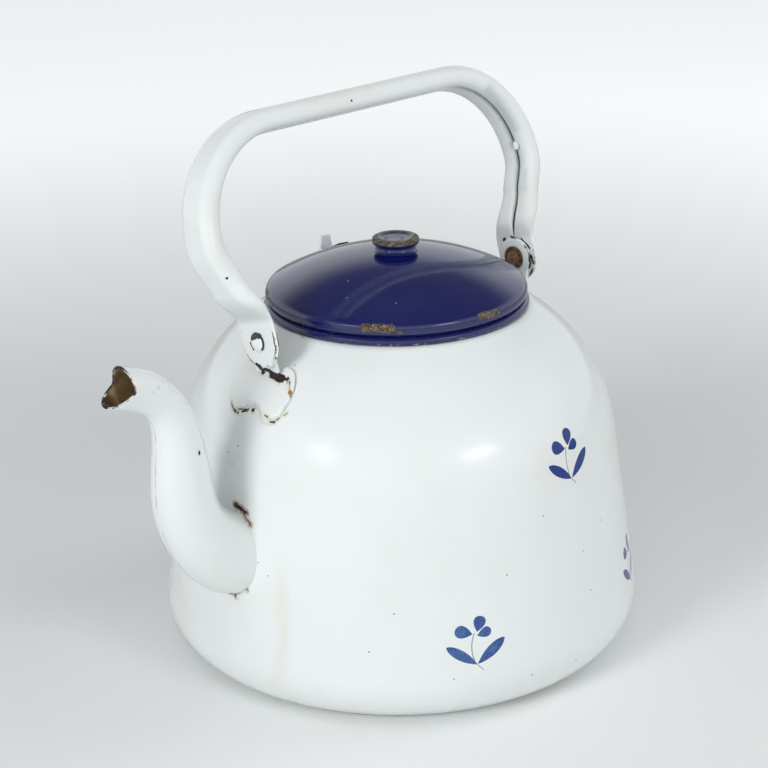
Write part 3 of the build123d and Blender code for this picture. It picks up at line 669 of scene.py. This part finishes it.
def bare_steel():
    """Browned steel of the washers, the hinge's pin and the knob's rivet."""
    finish = Finish("browned steel")
    patch = finish.noise(2.0, 4, seed=(3, 1, 1))
    colour = finish.mix(patch.smooth(0.35, 0.65), OLD_STEEL, RUST)
    return finish.surface(colour, 0.42 + patch * 0.3, finish.noise(0.8, 3) * 0.08, metallic=0.6)


# pieces

def finished(bm, name, body, stands_for, material):
    """Makes the mesh an object in metres, with its place in its mesh, and sets it in the frame."""
    bmesh.ops.transform(bm, matrix=Matrix.Scale(MM, 4), verts=bm.verts)
    mesh = bpy.data.meshes.new(name)
    bm.to_mesh(mesh)
    bm.free()
    for face in mesh.polygons:
        face.use_smooth = True
    piece = bpy.data.objects.new(name, mesh)
    bpy.context.scene.collection.objects.link(piece)
    mesh.materials.append(material)
    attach(piece, body)
    if stands_for:
        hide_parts(*stands_for)
    return piece


def extend(bm, rim, move):
    """Extrudes a rim of edges and moves the new rim; returns it."""
    made = bmesh.ops.extrude_edge_only(bm, edges=rim)["geom"]
    points = {g for g in made if isinstance(g, bmesh.types.BMVert)}
    bmesh.ops.transform(bm, matrix=move, verts=list(points))
    return [g for g in made if isinstance(g, bmesh.types.BMEdge) and set(g.verts) <= points]


def round_corners(bm, points, offset, segments):
    """Bevels points of a flat outline to arcs."""
    bmesh.ops.bevel(bm, geom=points, offset=offset, segments=segments, profile=0.5, affect="VERTICES", material=-1)


def make_bail(material):
    """Strip rolled to a tube with an open seam inside, its ends pressed flat over the pivot."""
    wall, width, depth, slot, lip, sunk = 0.9, 20.0, 11.6, 0.9, 2.6, 1.9
    top, corner, bend = 98.18, Vector((-58.72, 0, 49.38)), Vector((-87.51, 0, 50.14))
    half_w, half_d = (width - wall) / 2, (depth - wall) / 2
    bar_steps, run, run_steps, press_steps = 8, 9.3, 3, 22
    bm = bmesh.new()
    # the strip's section in the middle of the bar, from the seam's lip round to the sunk lip
    rolled_side = [(slot / 2, lip - half_d), (slot / 2, -half_d), (half_w, -half_d), (half_w, half_d)]
    sunk_side = [(-half_w, half_d), (-half_w, -half_d), (-1.6, sunk - half_d), (-slot / 2, lip + sunk - half_d)]
    points = [bm.verts.new((0, y, top + z)) for y, z in rolled_side + sunk_side]
    for pair in zip(points, points[1:]):
        bm.edges.new(pair)
    lips = [points[1], points[6]]
    round_corners(bm, points[2:6], 4.6, 8)
    round_corners(bm, lips, 1.2, 4)
    # half of the bar, its corner, its bend and the straight run of its leg
    rim = list(bm.edges)
    for _ in range(bar_steps):
        rim = extend(bm, rim, Matrix.Translation((corner.x / bar_steps, 0, 0)))
    for centre, angle, steps in ((corner, 88.5, 26), (bend, 27.2, 8)):
        ends = [v for edge in rim for v in edge.verts]
        spun = bmesh.ops.spin(bm, geom=rim + list(set(ends)), cent=centre, axis=(0, -1, 0), angle=radians(angle),
                              steps=steps, use_merge=False, use_duplicate=False)
        rim = [g for g in spun["geom_last"] if isinstance(g, bmesh.types.BMEdge)]
    lean = radians(25.7)
    for _ in range(run_steps):
        rim = extend(bm, rim, Matrix.Translation(Vector((sin(lean), 0, -cos(lean))) * run / run_steps))

    def station(place, tilt, deep, wide):
        return Matrix.Translation(place) @ Matrix.Rotation(tilt, 4, "Y") @ Matrix.Diagonal((deep, wide, 1, 1))

    def eased(z, high, low):
        share = min(max((high - z) / (high - low), 0.0), 1.0)
        return share, share * share * (3 - 2 * share)

    # the outer wall bends in lower down than the inner one, and both end pressed together
    start, turn_z, end_z = Vector((-101.5, 0, 33.11)), 26.0, 8.6
    closed_z, upright_z, wide_z = 15.5, 12.0, 13.0
    press, flat_w, end_r = 0.9, 25.8, 12.3
    flat_deep, flat_wide = press / (depth - wall), (flat_w - wall) / (width - wall)
    stations = [(start, -lean, 1.0, 1.0)]
    for step in range(1, press_steps + 1):
        z = start.z + (end_z - start.z) * step / press_steps
        share, soft = eased(z, turn_z, end_z)
        leg = start.x - half_d + tan(lean) * (start.z - max(z, turn_z))
        sway = 0.48 * share * (1 - share) ** 2 - 0.2 * share ** 2 * (1 - share)
        outer = leg + (-TAB_X - press / 2 - leg) * soft + (turn_z - end_z) * sway
        inner = start.x + half_d
        inner += (-TAB_X + press / 2 - inner) * eased(z, start.z, closed_z)[1]
        tilt = -lean * (1 - eased(z, start.z, upright_z)[0])
        wide = 1 + (flat_wide - 1) * eased(z, start.z, wide_z)[1]
        stations.append((Vector(((outer + inner) / 2, 0, z)), tilt, (inner - outer) / (depth - wall), wide))
    for z in (4, 0, -2.5, -5, -7, -8.8, -10.2, -11.2, -11.8, -12.15):
        round_off = sqrt(1 - (z / end_r) ** 2) if z < 0 else 1.0
        stations.append((Vector((-TAB_X, 0, z)), 0.0, flat_deep, flat_wide * round_off))
    for before, after in zip(stations, stations[1:]):
        rim = extend(bm, rim, station(*after) @ station(*before).inverted())
    bmesh.ops.mirror(bm, geom=bm.verts[:] + bm.edges[:] + bm.faces[:], axis="X", merge_dist=0.01)
    bmesh.ops.remove_doubles(bm, verts=bm.verts, dist=0.01)
    bmesh.ops.recalc_face_normals(bm, faces=bm.faces)
    upright = Matrix.Translation((0, 0, PIVOT_Z)) @ Matrix.Rotation(radians(-BAIL_LEAN), 4, "X")
    bmesh.ops.transform(bm, matrix=upright, verts=bm.verts)
    piece = finished(bm, "rolled_bail", "bail", ["bail_handle"], material)
    wall_mod = piece.modifiers.new("wall", "SOLIDIFY")
    wall_mod.thickness = wall * MM
    wall_mod.offset = 0.0
    wall_mod.use_even_offset = False
    soft = piece.modifiers.new("soft edges", "BEVEL")
    soft.width = 0.25 * MM
    soft.segments = 2
    soft.limit_method = "ANGLE"
    soft.angle_limit = radians(50)
    return piece


def make_drop(material):
    """Drop of enamel that ran down the bail's seam and set there."""
    bm = bmesh.new()
    bmesh.ops.create_uvsphere(bm, u_segments=20, v_segments=12, radius=1.0)
    for point in bm.verts:
        taper = 1.0 - 0.35 * max(point.co.z, 0.0)
        point.co = Vector((point.co.x * 1.5 * taper, point.co.y * 1.7 * taper, point.co.z * 2.4))
    place = Matrix.Translation((101.0, 12.6, 229.4)) @ Matrix.Rotation(-0.29, 4, "X")
    bmesh.ops.transform(bm, matrix=place, verts=bm.verts)
    return finished(bm, "enamel_drop", "bail", [], material)


def make_knob(material):
    """Knob with a thin rolled rim round its dished top, and a straight neck that flares into the lid."""
    bm = bmesh.new()
    outline = [
        (13.0, 197.9), (9.8, 198.6), (9.6, 201.7), (11.5, 201.8),
        (11.5, 205.5), (8.8, 205.5), (6.6, 204.8), (0.0, 204.6),
    ]
    points = [bm.verts.new((radius, 0, z)) for radius, z in outline]
    for pair in zip(points, points[1:]):
        bm.edges.new(pair)
    for corners, offset in (((1,), 2.2), ((2,), 0.4), ((3,), 1.4), ((4,), 1.1), ((5, 6), 0.7)):
        round_corners(bm, [points[k] for k in corners], offset, 5)
    bmesh.ops.spin(bm, geom=bm.verts[:] + bm.edges[:], cent=(0, 0, 0), axis=(0, 0, 1), angle=2 * pi, steps=64,
                   use_merge=True, use_duplicate=False)
    bmesh.ops.remove_doubles(bm, verts=bm.verts, dist=0.005)
    bmesh.ops.recalc_face_normals(bm, faces=bm.faces)
    return finished(bm, "rolled_knob", "lid", ["knob_cap", "knob_neck"], material)


def softened(node, name, body, material):
    """A solid's copy whose edges are rounded, as thick enamel rounds them."""
    bm = bmesh.new()
    bm.from_mesh(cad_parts[node].data)
    bmesh.ops.remove_doubles(bm, verts=bm.verts, dist=1e-6)
    bmesh.ops.transform(bm, matrix=Matrix.Scale(1 / MM, 4), verts=bm.verts)
    piece = finished(bm, name, body, [node], material)
    skin = piece.modifiers.new("enamel skin", "REMESH")
    skin.mode = "VOXEL"
    skin.voxel_size = SKIN_GRAIN * MM
    skin.use_smooth_shade = True
    flow = piece.modifiers.new("flow", "SMOOTH")
    flow.factor = 0.5
    flow.iterations = SKIN_ROUNDS
    return piece


def coat(node, material):
    """Gives a solid its finish."""
    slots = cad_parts[node].material_slots
    if len(slots):
        for place in slots:
            place.material = material
    else:
        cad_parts[node].data.materials.append(material)


body_white = body_enamel()
spout_white = spout_enamel()
ear_white = ear_enamel()
bail_white = bail_enamel()
lid_blue = lid_enamel()
knob_blue = knob_enamel()
rivet_white = rivet_enamel()
steel = bare_steel()

FINISHES = [
    (body_white, ["body_shell", "base_pan"]),
    (ring_enamel(), ["mouth_ring"]),
    (spout_white, ["spout_left_half", "spout_right_half", "hinge_bracket", "lid_collar"]),
    (ear_white, ["front_ear", "rear_ear"]),
    (bail_white, ["bail_handle"]),
    (rivet_white, ["front_rivet", "rear_rivet"]),
    (lid_blue, ["lid_dome", "hinge_leaf"]),
    (knob_blue, ["knob_neck", "knob_cap"]),
    (steel, ["front_rivet_washer", "rear_rivet_washer", "hinge_pin", "knob_rivet", "knob_washer"]),
]
for material, nodes in FINISHES:
    for node in nodes:
        coat(node, material)

make_bail(bail_white)
make_drop(bail_white)
make_knob(knob_blue)
softened("front_ear", "soft_front_ear", "kettle", ear_white)
softened("rear_ear", "soft_rear_ear", "kettle", ear_white)


# floor, light and camera

# strength of the light from all round, and of what the glaze mirrors low down and overhead
DAYLIGHT, WALL_LIGHT, CEILING_LIGHT = 0.29, 1.0, 0.22
WALL_TOP = (0.36, 0.66)
# name, azimuth and elevation in degrees, distance and size in metres, watts, mirrored in the glaze
LAMPS = [
    ("left box", -175.0, 21.0, 1.6, (0.55, 0.55), 10.4, False),
    ("left glow", -175.0, 21.0, 1.6, (0.55, 0.55), 0.15, True),
    ("left glint", -175.0, 21.0, 1.4, (0.42, 0.12), 0.35, True),
    ("right box", -92.0, 19.0, 1.6, (0.55, 0.55), 5.1, False),
    ("right glow", -92.0, 19.0, 1.6, (0.55, 0.55), 0.2, True),
    ("right glint", -92.0, 19.0, 1.4, (0.54, 0.12), 0.9, True),
    ("back sheet", -30.0, 35.0, 1.6, (0.9, 0.9), 5.0, False),
    ("top sheet", -150.0, 70.0, 1.6, (1.1, 1.1), 3.9, False),
]


def make_floor():
    """Pale floor that keeps the kettle's shadow and brightens with distance, as the camera sees it."""
    bm = bmesh.new()
    bmesh.ops.create_grid(bm, x_segments=4, y_segments=4, size=6.0)
    mesh = bpy.data.meshes.new("floor")
    bm.to_mesh(mesh)
    bm.free()
    floor = bpy.data.objects.new("floor", mesh)
    bpy.context.scene.collection.objects.link(floor)
    finish = Finish("pale floor")
    seen = finish.add("LightPath", {}, out="Is Camera Ray")
    away = finish.vector("LENGTH", finish.place)
    colour = finish.mix(seen, FLOOR_LIT, FLOOR_SEEN)
    glow = finish.mix(seen * away.smooth(220.0, 1250.0), (0.0, 0.0, 0.0), FLOOR_GLOW)
    shader = finish.add("BsdfPrincipled", {}, Base_Color=colour, Roughness=0.6, Emission_Color=glow,
                        Emission_Strength=1.0)
    finish.add("OutputMaterial", {}, shader)
    mesh.materials.append(finish.material)


def make_lamp(name, azimuth, elevation, distance, size, power, mirrored):
    """Soft oval lamp that looks at the kettle; azimuth is counted from +X towards +Y."""
    data = bpy.data.lights.new(name, "AREA")
    data.shape = "ELLIPSE"
    data.size, data.size_y = size
    data.energy = power
    lamp = bpy.data.objects.new(name, data)
    lamp.visible_glossy = mirrored
    a, e = radians(azimuth), radians(elevation)
    reach = Vector((cos(e) * cos(a), cos(e) * sin(a), sin(e)))
    lamp.location = Vector((0, 0, 0.13)) + reach * distance
    lamp.rotation_mode = "QUATERNION"
    lamp.rotation_quaternion = reach.to_track_quat("Z", "Y")
    bpy.context.scene.collection.objects.link(lamp)


def make_world():
    """Even daylight; what the glaze mirrors of it is pale low down, as a wall is, and dim overhead."""
    world = bpy.data.worlds.new("studio")
    world.use_nodes = True
    sky = Tree(world.node_tree)
    height = sky.part(sky.add("TexCoord", {}, out="Generated"), "Z")
    wall = height.smooth(WALL_TOP[1], WALL_TOP[0]) * (WALL_LIGHT - CEILING_LIGHT) + CEILING_LIGHT
    glossy, through, seen = [
        sky.add("LightPath", {}, out=f"Is {ray} Ray") for ray in ("Glossy", "Transmission", "Camera")
    ]
    level = DAYLIGHT + glossy.most(through) * (wall - DAYLIGHT) + seen * (WALL_LIGHT - DAYLIGHT)
    sky.add("OutputWorld", {}, sky.add("Background", {}, DAY, level))
    bpy.context.scene.world = world


def make_camera():
    """Camera at the photo's angle, in metres."""
    eye, target = Vector((-0.65537, -0.66551, 0.48635)), Vector((-0.0050, 0.00492, 0.12858))
    roll = radians(-1.12)
    data = bpy.data.cameras.new("camera")
    data.lens = 93.75
    data.sensor_width = 36.0
    camera = bpy.data.objects.new("camera", data)
    camera.location = eye
    camera.rotation_mode = "QUATERNION"
    look = (target - eye).to_track_quat("-Z", "Y")
    camera.rotation_quaternion = look @ Matrix.Rotation(roll, 3, "Z").to_quaternion()
    bpy.context.scene.collection.objects.link(camera)
    bpy.context.scene.camera = camera


make_floor()
make_world()
for lamp in LAMPS:
    make_lamp(*lamp)
make_camera()
bpy.context.scene.view_settings.view_transform = "Standard"
